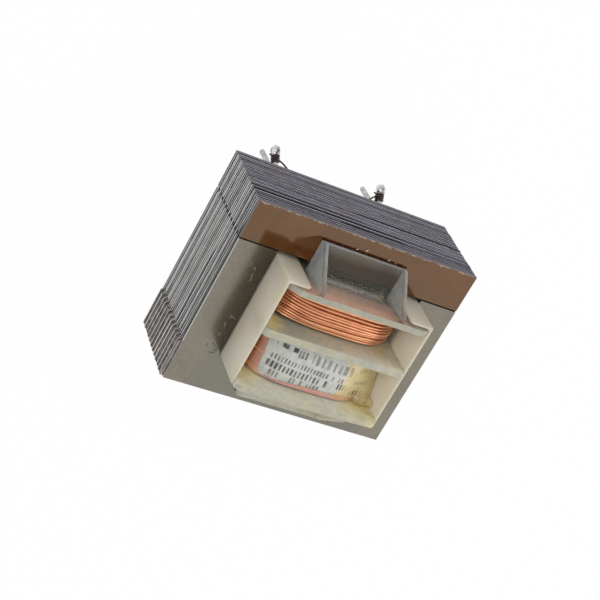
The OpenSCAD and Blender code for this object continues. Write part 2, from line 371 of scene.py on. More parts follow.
@dataclass(frozen=True)
class VarnishedSheet(Finish):
    """Core steel dipped in thin clear varnish: olive grey, cloudy and softly glossy, with one dark patch near
    the edge and painted shade beside the shrouds."""

    name: str = "varnished_silicon_steel"
    pale: str = "#585142"
    deep: str = "#443e31"
    dark_patch: str = "#3c3c32"
    shade_by_shrouds: str = "#45443a"
    beside: float = 9.9
    sheared: str = "#b9b7b2"
    torn: str = "#1f1e1c"
    dark_patch_at: Place = (-0.5, 12.0, 22.5)
    grain: Place = (3.4, 2.2, 3.0)
    # the sheared part of an edge begins this far under the top sheet's face
    torn_to: Pair = (-0.27, -0.15)
    rough: Pair = (0.2, 0.34)

    def surface(self, g: Graph) -> Socket:
        """Clouds over a fine rolled grain, one dark patch near the edge, and painted shade beside the
        shrouds.

        Args:
            g: the material's graph.

        Returns:
            The shader.
        """
        mm = g.millimetres()
        cloud = g.noise(mm, scale=0.16, detail=4.0, roughness=0.6)
        grain = g.noise(g.stretch(mm, self.grain), scale=1.0, detail=4.0, roughness=0.7)
        ragged = g.noise(mm, scale=1.6, detail=4.0)
        colour = g.ramp(g.stray(cloud, grain, 0.8), (0.65, self.deep), (1.0, self.pale))
        off = g.vector("SUBTRACT", mm, self.dark_patch_at)
        near = g.stray(g.vector("LENGTH", g.stretch(off, (0.4, 1.0, 1.0))), ragged, 1.6)
        colour = g.mix(g.remap(near, (1.0, 1.9), (0.8, 0.0)), colour, self.dark_patch)
        # painted shade and painted reflection of the shrouds: the plate is darker beside them
        x = g.stray(g.math("ABSOLUTE", g.split(mm)[0]), ragged, 1.8)
        pooled = g.remap(x, (self.beside + 3.2, self.beside + 2.0), (0.0, 0.55))
        colour = g.mix(pooled, colour, self.shade_by_shrouds)
        edge = g.mix(g.remap(g.split(off)[2], self.torn_to), self.torn, self.sheared)
        colour = g.mix(g.rim(), colour, edge)
        rough = g.remap(cloud, (0.3, 0.7), self.rough)
        bump = g.bump(grain, strength=0.2, depth=0.02)
        return g.skin(colour, rough, Metallic=0.75, Normal=bump, Coat_Weight=0.8, Coat_Roughness=0.15)


@dataclass(frozen=True)
class BrownLacquer(Finish):
    """Impregnating lacquer baked on steel: a brown glossy skin, chipped to pale steel along the
    outer edge."""

    name: str = "baked_brown_lacquer"
    pale: str = "#5b3517"
    deep: str = "#4c290d"
    chip: str = "#a89c8c"
    side: str = "#67636b"
    tint: str = "#ffe8c6"
    edge: float = -12.6
    chipped_over: float = 0.4
    flake: Place = (1.0, 2.6, 2.0)
    rough: Pair = (0.09, 0.6)

    def surface(self, g: Graph) -> Socket:
        """Brown clouds with pale chips near the outer edge.

        Args:
            g: the material's graph.

        Returns:
            The shader.
        """
        mm = g.millimetres()
        cloud = g.noise(mm, scale=0.22, detail=5.0, roughness=0.6)
        tone = g.stray(cloud, g.noise(mm, scale=4.0, detail=3.0, roughness=0.7), 0.5)
        colour = g.ramp(tone, (0.55, self.deep), (0.93, self.pale))
        close = g.remap(g.split(mm)[1], (self.edge, self.edge + self.chipped_over), (0.33, 0.0))
        flake = g.noise(g.stretch(mm, self.flake), scale=1.5, detail=5.0, roughness=0.7)
        chipped = g.remap(g.math("ADD", flake, close), (0.79, 0.86))
        rim = g.rim()
        colour = g.mix(rim, g.mix(chipped, colour, self.chip), self.side)
        rough = g.remap(g.most(chipped, rim), onto=self.rough)
        bump = g.bump(tone, strength=0.15, depth=0.03)
        return g.skin(colour, rough, IOR=1.5, Specular_Tint=self.tint, Normal=bump)


@dataclass(frozen=True)
class Stain:
    """A patch that varnish has soaked yellow: where, how wide and how strong."""

    place: Place
    radius: float
    strength: float = 0.8


@dataclass(frozen=True)
class NaturalNylon(Finish):
    """Unfilled polyamide, injection moulded: milky, so that light and the copper behind a thin
    wall come through it blurred."""

    name: str = "moulded_natural_nylon"
    through: str = "#e8e2d6"
    thin: str = "#c8d3dd"
    warm: str = "#efc8ba"
    low: str = "#98949a"
    wing: str = "#a0a196"
    shaded_top_edge: str = "#aeada0"
    pale: str = "#d0cfc2"
    middle: str = "#8e968e"
    middle_lit_end: str = "#e2e0ce"
    aged: str = "#dac98a"
    thin_below: float = -5.6
    flange_from: float = -6.53
    floor_end: float = -10.7
    copper_above: Pair = (25.2, 26.2)
    mottling: Pair = (0.86, 1.08)
    rough: Pair = (0.46, 0.58)
    stains: tuple[Stain, ...] = (
        Stain((8.4, 6.6, 24.6), 4.4, 1.0), Stain((-8.0, 6.6, 26.0), 4.6, 1.0),
        Stain((8.6, -0.6, 26.2), 2.6, 1.0), Stain((-6.5, -0.6, 25.2), 2.6, 0.6),
        Stain((8.0, -6.3, 26.0), 1.6, 0.4),
    )

    def yellowed(self, g: Graph, mm: Socket, cloud: Socket) -> Socket:
        """How yellow the plastic has become.

        Args:
            g: the material's graph.
            mm: places in millimetres.
            cloud: the noise that frays the stains.

        Returns:
            From 0 to 1.
        """
        aged = g.remap(cloud, (0.45, 0.75), (0.08, 0.35))
        for stain in self.stains:
            away = g.stray(g.vector("DISTANCE", mm, stain.place), cloud, -1.6 * stain.radius)
            span = (0.25 * stain.radius, -0.75 * stain.radius)
            aged = g.most(aged, g.remap(away, span, (0.0, stain.strength)))
        return aged

    def surface(self, g: Graph) -> Socket:
        """Milky plastic with yellow stains and a soft moulded gloss.

        Args:
            g: the material's graph.

        Returns:
            The shader.
        """
        mm = g.millimetres()
        cloud, fine = g.noise(mm, scale=0.35, detail=3.0), g.noise(mm, scale=2.2, detail=3.0)
        x, y, z = g.split(mm)
        level = g.math("SUBTRACT", 1.0, g.rim())
        stout = g.remap(y, (self.thin_below, self.thin_below + 0.3))
        flange = g.remap(y, (self.flange_from - 0.02, self.flange_from + 0.02))
        # the middle part turns from grey-green at +X to cream at -X: partly the plastic's tint, partly
        # painted light where the -X shroud shades it
        middle = g.mix(g.remap(x, (6.0, -6.5)), self.middle, self.middle_lit_end)
        # the thin flange is grey at its foot, pink over the copper as a painted glow of the copper seen
        # through it, and milky at its ends and top
        ends = g.remap(g.math("ABSOLUTE", x), (5.8, 8.0), (0.0, 0.8))
        ends = g.product(g.most(ends, level), flange)
        behind = g.mix(g.remap(g.stray(z, cloud, 1.6), self.copper_above), self.low, self.warm)
        colour = g.mix(ends, g.mix(flange, self.thin, behind), self.wing)
        colour = g.mix(stout, colour, g.mix(g.remap(y, (0.5, 1.5)), middle, self.pale))
        # the upward edges of the stout parts are painted greyer than the faces: painted shade for light that
        # sinks into an edge
        colour = g.mix(g.product(level, stout), colour, self.shaded_top_edge)
        colour = g.mix(self.yellowed(g, mm, cloud), colour, self.aged)
        mottled = g.noise(mm, scale=1.1, detail=5.0, roughness=0.62)
        colour = g.mix(1.0, colour, g.remap(mottled, (0.35, 0.65), self.mottling), blend="MULTIPLY")
        rough = g.remap(fine, (0.3, 0.7), self.rough)
        milk = g.skin(colour, rough, IOR=1.5, Normal=g.bump(fine, strength=0.05, depth=0.04))
        clear = g.out("BsdfTransparent", {"Color": self.through})
        slanted = g.remap(flange, onto=(0.85, 0.62))
        share = g.remap(g.facing(), (0.2, 0.9), (0.07, slanted))
        outer = g.remap(y, (self.floor_end + 2.2, self.floor_end), (0.0, 0.16))
        return g.blend(g.most(share, outer, ends, stout), clear, milk)


@dataclass(frozen=True)
class CreamShroud(Finish):
    """Cream insulation sheet, cut and folded: it lets some light through, has a low sheen and is
    yellowed in soft patches."""

    name: str = "folded_cream_sheet"
    pale: str = "#d8d5ca"
    aged: str = "#d3cbb0"
    glow: str = "#fbf4e6"
    let_through: float = 0.35

    def surface(self, g: Graph) -> Socket:
        """Cream with soft yellow patches.

        Args:
            g: the material's graph.

        Returns:
            The shader.
        """
        mm = g.millimetres()
        aged = g.remap(g.noise(mm, scale=0.28, detail=3.0), (0.42, 0.7), (0.0, 0.8))
        bump = g.bump(g.noise(mm, scale=3.0, detail=2.0), strength=0.15, depth=0.03)
        sheet = g.skin(g.mix(aged, self.pale, self.aged), 0.42, IOR=1.5, Normal=bump)
        return g.blend(self.let_through, sheet, g.out("BsdfTranslucent", {"Color": self.glow}))


@dataclass(frozen=True)
class EnamelledCopper(Finish):
    """Copper wire under clear enamel, wound: bright pinkish orange on the crowns of the turns and
    deep red brown between them."""

    name: str = "enamelled_copper"
    bright: str = "#eaa87c"
    deep: str = "#a65027"
    metallic: float = 0.75

    def surface(self, g: Graph) -> Socket:
        """A tone for each turn, with faint rubs along it.

        Args:
            g: the material's graph.

        Returns:
            The shader.
        """
        rub = g.noise(g.millimetres(), scale=0.8, detail=2.0)
        colour = g.ramp(g.stray(g.tone(), rub, 0.5), (0.25, self.deep), (1.0, self.bright))
        return g.skin(colour, 0.34, Metallic=self.metallic, Coat_Weight=0.4, Coat_Roughness=0.12)


@dataclass(frozen=True)
class FineCopper(Finish):
    """Very fine enamelled copper wire, layer wound: a reddish strip ruled with thin lines of painted shade
    between the ridges, under a milky film of varnish along the label."""

    name: str = "fine_enamelled_copper"
    bright: str = "#d98a4c"
    deep: str = "#7e3c16"
    film: str = "#d8a89e"
    label_x: float = 7.0
    label_y: float = 6.1
    film_above: Pair = (23.0, 24.5)

    def surface(self, g: Graph) -> Socket:
        """A tone for each turn, and the film beside the label.

        Args:
            g: the material's graph.

        Returns:
            The shader.
        """
        mm = g.millimetres()
        x, y, z = g.split(mm)
        tone = g.stray(g.tone(), g.noise(mm, scale=0.9, detail=3.0), 0.4)
        copper = g.ramp(tone, (0.4, self.deep), (0.8, self.bright))
        side = g.remap(x, (self.label_x + 0.5, self.label_x + 0.25), (0.0, 0.6))
        foot = g.remap(y, (self.label_y - 0.4, self.label_y + 0.1), (0.0, 0.8))
        foot = g.product(foot, g.remap(x, (6.5, 3.5)))
        filmed = g.product(g.most(side, foot), g.remap(z, self.film_above))
        colour = g.mix(filmed, copper, self.film)
        return g.skin(colour, 0.38, Metallic=0.35, Coat_Weight=0.35, Coat_Roughness=0.15)


@dataclass(frozen=True)
class PrintRow:
    """One row of plain short bars that stands in for a row of print."""

    y: float
    start: float
    end: float
    height: float
    pitch: float
    seed: float
    strength: float = 0.8
    thin: float = 0.3
    thick: float = 0.75
    gaps: float = 0.16


@dataclass(frozen=True)
class CoatedPaper(Finish):
    """Coated paper, printed and stuck down: grey white with worn grey bars for print, soaked
    yellow by varnish at one end."""

    name: str = "printed_coated_paper"
    paper: str = "#cacac5"
    shade: str = "#b2b3ae"
    ink: str = "#2e2e34"
    soaked: str = "#ecdfba"
    soaked_x: float = -3.6
    slope: float = 0.04
    level_at: float = 6.0
    soft: float = 0.05
    rows: tuple[PrintRow, ...] = (
        PrintRow(1.75, 6.0, 3.2, 0.6, 1.4, 3.0, 1.0, 0.5, 0.6, 0.0),
        PrintRow(2.0, 3.1, 1.7, 0.9, 0.46, 6.0, 0.9, 0.5, 0.9, 0.0),
        PrintRow(2.05, 1.2, -4.9, 1.2, 0.8, 5.0, 0.62, 0.35, 0.7, 0.0),
        PrintRow(3.45, 6.1, -4.6, 0.72, 0.44, 1.0, 0.75, 0.35, 0.75),
        PrintRow(4.5, 6.3, -2.2, 0.95, 0.52, 2.0, 0.9),
        PrintRow(4.3, -3.4, -4.9, 0.85, 0.42, 8.0, 0.9, gaps=0.0),
        PrintRow(1.7, -5.3, -7.6, 0.5, 0.5, 9.0, 0.6),
        PrintRow(3.3, -5.3, -7.7, 0.55, 0.5, 10.0, 0.7, gaps=0.0),
        PrintRow(4.8, -5.5, -7.5, 0.8, 0.6, 12.0, 0.95, 0.4, 0.8, 0.0),
        PrintRow(5.5, 6.2, -1.4, 0.85, 0.46, 4.0, 0.7),
    )

    def bars(self, g: Graph, row: PrintRow, x: Socket, y: Socket) -> Socket:
        """How much ink one row lays down at a place.

        Args:
            g: the material's graph.
            row: the row.
            x: the place across the label.
            y: the place down the label, with its slope taken off.

        Returns:
            From 0 to the row's strength.
        """
        cell, half = g.math("DIVIDE", x, row.pitch), row.height / 2
        number = g.math("ADD", g.math("FLOOR", cell), row.seed * 31.7)
        width, lot, height = g.add("SeparateColor", {0: g.chance(number).outputs["Color"]}).outputs
        inside = g.math("ABSOLUTE", g.math("SUBTRACT", g.math("FRACT", cell), 0.5))
        past = g.math("SUBTRACT", inside, g.remap(width, onto=(row.thin / 2, row.thick / 2)))
        off = g.math("SUBTRACT", y, row.y)
        above = g.math("SUBTRACT", off, g.remap(height, onto=(-0.7 * half, -half)))
        return g.product(
            g.remap(past, (0.06, -0.04)),
            g.math("GREATER_THAN", lot, row.gaps),
            g.remap(above, (-self.soft, self.soft)),
            g.remap(off, (half + self.soft, half - self.soft)),
            g.remap(x, (row.start, row.start - 0.1)),
            g.remap(x, (row.end, row.end + 0.1), (0.0, row.strength)),
        )

    def surface(self, g: Graph) -> Socket:
        """Paper, print, and the soaked end.

        Args:
            g: the material's graph.

        Returns:
            The shader.
        """
        mm = g.millimetres()
        x, y, _ = g.split(mm)
        cloud = g.noise(mm, scale=0.9, detail=4.0, roughness=0.65)
        paper = g.ramp(cloud, (0.35, self.shade), (0.6, self.paper))
        worn = g.remap(g.noise(mm, scale=1.2, detail=3.0), (0.3, 0.55), (0.5, 1.0))
        level = g.math("SUBTRACT", g.stray(y, x, self.slope), self.level_at * self.slope)
        ink = g.product(g.most(*(self.bars(g, row, x, level) for row in self.rows)), worn)
        span = (self.soaked_x + 1.9, self.soaked_x + 0.9)
        soaked = g.remap(g.stray(x, cloud, 3.0), span, (0.0, 0.42))
        colour = g.mix(ink, g.mix(soaked, paper, self.soaked), self.ink)
        bump = g.bump(cloud, strength=0.2, depth=0.02)
        return g.skin(colour, 0.45, IOR=1.45, Normal=bump, Coat_Weight=0.15, Coat_Roughness=0.2)


@dataclass(frozen=True)
class PouredVarnish(Finish):
    """Varnish run on and hardened: clear and glossy, more or less yellow by its thickness."""

    name: str = "hardened_varnish"
    through: str = "#fdf6e0"
    body: str = "#f4e5ba"
    solid: float = 0.16
    shine: Pair = (0.04, 0.3)

    def surface(self, g: Graph) -> Socket:
        """Tinted see-through film with a glossy body mixed in.

        Args:
            g: the material's graph.

        Returns:
            The shader.
        """
        cloud = g.noise(g.millimetres(), scale=1.2, detail=3.0)
        share = g.remap(cloud, (0.3, 0.7), (self.solid * 0.7, min(1.0, self.solid * 1.3)))
        clear = g.out("BsdfTransparent", {"Color": self.through})
        film = g.blend(share, clear, g.out("BsdfDiffuse", {"Color": self.body}))
        gloss = g.out("BsdfGlossy", {"Color": "#ffffff", "Roughness": 0.14})
        return g.blend(g.remap(g.math("POWER", g.facing(), 4.0), onto=self.shine), film, gloss)


@dataclass(frozen=True)
class TinnedWire(Finish):
    """Tinned steel wire, drawn and bent: dull light grey, scuffed along its length."""

    name: str = "drawn_tinned_wire"
    pale: str = "#c9c8c6"
    deep: str = "#8f8e8e"
    roughness: float = 0.4
    grain: float = 2.0

    def surface(self, g: Graph) -> Socket:
        """Light grey metal with darker scuffs.

        Args:
            g: the material's graph.

        Returns:
            The shader.
        """
        scuff = g.noise(g.millimetres(), scale=self.grain, detail=4.0, roughness=0.6)
        colour = g.ramp(scuff, (0.3, self.deep), (0.6, self.pale))
        rough = g.remap(scuff, (0.3, 0.7), (self.roughness * 1.25, self.roughness * 0.8))
        return g.skin(colour, rough, Metallic=0.85, Normal=g.bump(scuff, strength=0.3, depth=0.02))


@dataclass(frozen=True)
class DarkEnamel(Finish):
    """Wire with dark brown enamel, wrapped by hand: nearly black with small glints."""

    name: str = "dark_enamel_on_copper"
    pale: str = "#5a3527"
    deep: str = "#21120e"

    def surface(self, g: Graph) -> Socket:
        """Very dark brown, lighter where the enamel is rubbed.

        Args:
            g: the material's graph.

        Returns:
            The shader.
        """
        rub = g.noise(g.millimetres(), scale=3.0, detail=3.0)
        colour = g.ramp(rub, (0.45, self.deep), (0.75, self.pale))
        return g.skin(colour, 0.3, Metallic=0.3, Coat_Weight=0.3, Coat_Roughness=0.1)


@dataclass(frozen=True)
class DullFill(Finish):
    """A dull dark fill without shine, for lacquer, dust and oil packed into a crack and for painted shade in
    joints and gaps.
    """

    name: str = "dull_fill"
    pale: str = "#5a524c"
    deep: str = "#332e2b"

    def surface(self, g: Graph) -> Socket:
        """Dull dark patches.

        Args:
            g: the material's graph.

        Returns:
            The shader.
        """
        patch = g.noise(g.millimetres(), scale=1.5, detail=3.0)
        colour = g.ramp(patch, (0.4, self.deep), (0.7, self.pale))
        return g.skin(colour, 0.9, Specular_IOR_Level=0.05)


# ---------------------------------------------------------------- mesh helpers


def held(value: float, low: float = 0.0, high: float = 1.0) -> float:
    """A value kept between two ends."""
    return max(low, min(high, value))


def wander(x: float, y: float, z: float) -> float:
    """Smooth seeded noise from about -1 to 1 at a place."""
    return noise.noise(Vector((x, y, z)))


def grid(over: int, across: int, place: Callable[[float, float], Vector], wrap: bool = False) -> Rows:
    """Lays out rows of points by two shares that run from 0 to 1.

    Args:
        over: steps from row to row.
        across: steps along a row.
        place: gives a point from the row's share and the share along it.
        wrap: leaves out each row's last point, which is its first again.

    Returns:
        The rows.
    """
    count = across if wrap else across + 1
    return [[place(j / over, i / across) for i in range(count)] for j in range(over + 1)]


def ball_way(v: float, u: float, right: Vector, back: Vector, up: Vector) -> Vector:
    """The way from a ball's centre to a point of it, by its shares from pole to pole and round."""
    t, a = math.pi * v, math.tau * u
    return math.sin(t) * (math.cos(a) * right + math.sin(a) * back) + math.cos(t) * up


@dataclass
class Draft:
    """Points and faces collected, in millimetres, before they become one mesh."""

    points: list[Vector] = field(default_factory=list)
    faces: list[tuple[int, ...]] = field(default_factory=list)
    tones: list[float] = field(default_factory=list)

    def rows(
        self, rows: Sequence[Sequence[Vector]], wrap: bool = False, close: bool = False,
        tone: float | Sequence[float] = 0.5,
    ) -> None:
        """Adds quads between rows of points.

        Args:
            rows: equally long rows.
            wrap: joins each row's end to its start.
            close: joins the last row to the first.
            tone: the rows' tone, or one for each row.
        """
        start, n, count = len(self.points), len(rows[0]), len(rows)
        for k, row in enumerate(rows):
            self.points.extend(row)
            self.tones.extend([tone[k] if isinstance(tone, Sequence) else tone] * n)
        for r in range(count if close else count - 1):
            for i in range(n if wrap else n - 1):
                a, b = start + r * n, start + (r + 1) % count * n
                j = (i + 1) % n
                self.faces.append((a + i, a + j, b + j, b + i))

    def tube(
        self, path: Sequence[Vector], radii: float | Sequence[float], sides: int = 8,
        tone: float | Sequence[float] = 0.5,
    ) -> None:
        """Adds a round tube along a path, closed at both ends.

        Args:
            path: the centre line.
            radii: its radius, or one for each point.
            sides: how many sides it has.
            tone: its tone, or one for each point.
        """
        rings, across = [], None
        for k, point in enumerate(path):
            along = (path[min(k + 1, len(path) - 1)] - path[max(k - 1, 0)]).normalized()
            across = across or along.orthogonal()
            across = (across - across.dot(along) * along).normalized()
            up = along.cross(across)
            r = radii[k] if isinstance(radii, Sequence) else radii
            turns = [math.tau * i / sides for i in range(sides)]
            rings.append([point + r * (math.cos(t) * across + math.sin(t) * up) for t in turns])
        first = len(self.points)
        self.rows(rings, wrap=True, tone=tone)
        last = len(self.points)
        self.faces.append(tuple(reversed(range(first, first + sides))))
        self.faces.append(tuple(range(last - sides, last)))

    def bead(self, centre: Place, way: Place, size: float, profile: Sequence[Pair], sides: int) -> None:
        """Adds a small bead with tapered ends.

        Args:
            centre: its middle.
            way: the way it lies.
            size: half its length and width.
            profile: (place along it, radius) pairs, as shares of its size.
            sides: how many sides it has.
        """
        path = [Vector(centre) + Vector(way) * (size * s) for s, _ in profile]
        self.tube(path, [size * r for _, r in profile], sides)

    def piece(self, name: str, finish: Finish, slot: Slot, replaces: Iterable[str] = ()) -> Object:
        """Turns the draft into a piece that rides on the frame.

        Args:
            name: the piece's name.
            finish: what it is made of.
            slot: the record's slot; handed on to mounted, which does not use it.
            replaces: the CAD nodes that it stands for.

        Returns:
            The new object.
        """
        mesh = bpy.data.meshes.new(name)
        mesh.from_pydata([p * MM for p in self.points], [], self.faces)
        mesh.attributes.new("tone", "FLOAT", "POINT").data.foreach_set("value", self.tones)
        mesh.shade_smooth()
        return mounted(mesh, name, finish, slot, replaces)


def mounted(
    mesh: bpy.types.Mesh, name: str, finish: Finish, slot: Slot, replaces: Iterable[str] = (),
) -> Object:
    """Makes an object of a mesh and mounts it on the frame.

    Args:
        mesh: the finished mesh, in metres.
        name: the piece's name.
        finish: what it is made of.
        slot: the record's slot; not used.
        replaces: the CAD nodes that it stands for.

    Returns:
        The new object.
    """
    made = placed(name, mesh)
    mesh.materials.clear()
    mesh.materials.append(finish.material())
    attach(made, BODY)
    if replaces:
        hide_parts(*replaces)
    LOG.info("%s: %d faces", name, len(mesh.polygons))
    return made


def placed(name: str, data: bpy.types.ID) -> Object:
    """Puts a new object into the scene.

    Args:
        name: its name.
        data: its mesh, lamp or camera.

    Returns:
        The new object.
    """
    made = bpy.data.objects.new(name, data)
    bpy.context.scene.collection.objects.link(made)
    return made


def dress(node: str, finish: Finish) -> None:
    """Gives a carried CAD node its material.

    Args:
        node: the node's name.
        finish: what it is made of.
    """
    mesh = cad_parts[node].data
    mesh.materials.clear()
    mesh.materials.append(finish.material())
    LOG.info("%s: dressed in %s", node, finish.name)


def softened(
    node: str, name: str, finish: Finish, slot: Slot, edge: float, warp: Callable[[Vector], Vector],
) -> Object:
    """Copies a CAD node with its edges rounded as moulding leaves them.

    Args:
        node: the node that the copy stands for.
        name: the piece's name.
        finish: what it is made of.
        slot: the record's slot; handed on to mounted, which does not use it.
        edge: width of the rounding.
        warp: moves a point, in millimetres, as the part has warped.

    Returns:
        The new object.
    """
    draft = bmesh.new()
    draft.from_mesh(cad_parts[node].data)
    bmesh.ops.remove_doubles(draft, verts=draft.verts, dist=0.003 * MM)
    bmesh.ops.dissolve_limit(draft, angle_limit=math.radians(0.8), verts=draft.verts, edges=draft.edges)
    for vert in draft.verts:
        vert.co = warp(vert.co / MM) * MM
    mesh = bpy.data.meshes.new(name)
    draft.to_mesh(mesh)
    draft.free()
    mesh.shade_smooth()
    made = mounted(mesh, name, finish, slot, [node])
    bevel = made.modifiers.new("rounded edges", "BEVEL")
    bevel.width = edge * MM
    bevel.segments = 2
    bevel.limit_method = "ANGLE"
    bevel.angle_limit = math.radians(40)
    bevel.harden_normals = True
    return made


# ---------------------------------------------------------------- sub-assemblies


@dataclass(frozen=True)
class Core:
    """The stack of E and I plates, with what dried on it."""

    top: float = 22.5
    foot: float = 10.0
    sheet: float = 0.5
    sheets: int = 24
    joint: Pair = (-7.6, -7.4)
    joint_from: float = 9.9
    joint_length: float = 5.05
    joint_depth: float = 0.12
    joint_sag: float = 0.08
    # the reversed I plates stand out of the end, which has a slope before them
    end: float = 15.02
    lacquer_out: float = 15.34
    burr_out: float = 15.36
    burr_height: float = 0.47
    slope_y: float = 7.26
    step_y: float = 7.62
    corner_y: float = 12.56
    bead_y: float = -10.78
    bead_half: float = 5.8
    bead_radius: float = 0.15
    warm: SheetEdges = SheetEdges("punched_silicon_steel_warm", bright="#d2cdc9", dull="#9b9693")
    cool: SheetEdges = SheetEdges("punched_silicon_steel_reversed", bright="#d8d8d8", dull="#7c7b79")
    ends: SheetEdges = SheetEdges("punched_silicon_steel_ends", bright="#d8d7d9", dull="#7a797d")
    # each run's start, length, half width and seed
    runs: tuple[tuple[float, ...], ...] = (
        (12.0, -5.2, 0.8, 0.09, 1.2), (11.7, -4.6, 0.5, 0.12, 2.0), (11.4, -3.9, 0.9, 0.1, 1.6),
        (11.1, -3.2, 0.5, 0.13, 0.7), (11.5, 1.9, 1.4, 0.1, 3.0), (11.3, 2.6, 0.6, 0.08, 4.4),
        (11.1, 3.8, 0.9, 0.09, 5.0), (11.2, 4.7, 0.7, 0.1, 1.0), (11.6, 6.3, 1.6, 0.12, 2.6),
        (11.2, 7.0, 0.9, 0.1, 1.9), (10.9, 7.5, 0.5, 0.12, 0.2), (11.9, 6.9, 0.6, 0.09, 5.5),
    )
    # each crumb's place and size
    crumb_at: tuple[Place, ...] = (
        (1.2, -11.0, 0.08), (0.0, -11.25, 0.12), (-2.6, -10.75, 0.07),
        (-3.2, -11.0, 0.1), (-5.4, -10.7, 0.08), (-4.2, -10.9, 0.05),
    )

    def dress(self) -> None:
        """Gives each group of plates its finish."""
        dress("outer_e_plates", VarnishedSheet())
        dress("outer_i_plates", BrownLacquer())
        dress("inner_e_plates", SheetEdges())
        dress("reversed_e_plates", self.cool)
        dress("inner_i_plates", self.ends)
        dress("reversed_i_plates", self.warm)

    def squiggle(self, draft: Draft, x: float, y: float, length: float, radius: float, seed: float) -> None:
        """A run of varnish that dried on the top sheet.

        Args:
            draft: what it is added to.
            x: its start.
            y: its start.
            length: how long it is.
            radius: half its width.
            seed: sets its course.
        """
        path, radii, at, n = [], [], Vector((x, y, self.top)), 14
        for k in range(n):
            turn = 2.4 * wander(seed, k * 0.45, 0.3) + seed
            at = at + length / n * Vector((math.cos(turn), math.sin(turn), 0))
            path.append(at)
            taper = 0.35 + 0.65 * math.sin(math.pi * (k + 0.5) / n)
            radii.append(radius * taper * (1 + 0.5 * wander(seed, 7.0, k * 0.9)))
        draft.tube(path, radii)

    def varnish_runs(self) -> None:
        """Adds the small blisters and runs beside the shroud."""
        draft = Draft()
        for run in self.runs:
            self.squiggle(draft, *run)
        dried = PouredVarnish("dried_varnish_run", "#d8d4c4", "#a8a494", 0.4)
        draft.piece("varnish_runs", dried, Slot.VARNISH)

    def lacquer_and_shadow_bead(self) -> None:
        """Adds the dark bead along the outer edge of the pocket: partly lacquer, partly painted contact
        shadow under the pocket's edge.
        """
        draft, path, radii, n = Draft(), [], [], 60
        for k in range(n + 1):
            y = self.bead_y - 0.1 * wander(k * 0.3, 1.0, 0.0)
            path.append(Vector((self.bead_half * (1 - 2 * k / n), y, self.top + 0.02)))
            radii.append(self.bead_radius + 0.06 * wander(k * 0.45, 4.0, 0.0))
        draft.tube(path, radii)
        draft.piece("lacquer_and_shadow_bead", DullFill("dark_lacquer_and_painted_shadow", "#4f2919", "#2a130b"), Slot.BROWN)

    def crumbs(self) -> None:
        """Adds the white crumbs of plastic caught on the bead."""
        draft, profile = Draft(), ((-1, 0.3), (-0.4, 0.7), (0.4, 0.7), (1, 0.3))
        for x, y, size in self.crumb_at:
            draft.bead((x, y, self.top + 0.07), (1.0, 1.5, 0.0), size, profile, sides=7)
        milky = PouredVarnish("crumbs_of_nylon", "#e8e8e4", "#e6e4dc", 0.75)
        draft.piece("plastic_crumbs", milky, Slot.NYLON)

    def joint_shadow_strip(self) -> None:
        """Adds a black strip sunk into the joint of the top plates, on both sides, as painted shadow of the
        joint's gap.
        """
        draft, n = Draft(), 24
        near, far = self.joint[0] + 0.01, self.joint[1] - 0.01
        for side in (1, -1):
            rows = []
            for k in range(n + 1):
                x = side * (self.joint_from + self.joint_length * k / n)
                z = self.top - self.joint_depth + 0.06 * wander(x * 0.9, 3.0, 0.0)
                sunk = Vector((x, (near + far) / 2, z - self.joint_sag))
                rows.append([Vector((x, near, z)), sunk, Vector((x, far, z))])
            draft.rows(rows[::side])
        draft.piece("joint_shadow_strip", DullFill("painted_shadow_in_joint", "#1d1613", "#0d0a09"), Slot.BROWN)

    def gap_filler(self) -> None:
        """Adds dull grey sheets across the gaps between the reversed I plates where they stick out: painted
        shade standing for the recesses behind them.
        """
        draft = Draft()
        outline = (
            (self.end, self.slope_y), (self.lacquer_out, self.step_y),
            (self.lacquer_out, self.corner_y), (self.end, self.corner_y),
        )
        for sheet in range(2, self.sheets, 2):
            low = self.foot + self.sheet * sheet
            for a, b in zip(outline, outline[1:]):
                draft.rows([[Vector((*a, z)), Vector((*b, z))] for z in (low, low + self.sheet)])
        dull_fill = DullFill("grey_gap_filler", "#938e8a", "#5e5a57")
        draft.piece("lacquer_between_sheets", dull_fill, Slot.VARNISHED).data.shade_flat()

    def burrs(self) -> None:
        """Adds the burrs by which the reversed I plates rise out of the core's side."""
        draft = Draft()
        for sheet in range(1, self.sheets, 2):
            low = self.foot + self.sheet * sheet
            foot, top = (
                [Vector((self.end, self.slope_y, z)), Vector((self.burr_out, self.step_y - 0.02, z))]
                for z in (low, low + self.burr_height)
            )
            back = [Vector((x, self.step_y, low + self.burr_height)) for x in (self.end, self.burr_out)]
            draft.rows([foot, top])
            draft.rows([top, back])
        draft.piece("plate_burrs", self.warm, Slot.EDGES).data.shade_flat()

    def build(self) -> None:
        """Dresses the plates and adds what dried on them, with painted shade in the top plates' joint and
        between the reversed plates.
        """
        self.dress()
        self.varnish_runs()
        self.lacquer_and_shadow_bead()
        self.crumbs()
        self.joint_shadow_strip()
        self.gap_filler()
        self.burrs()


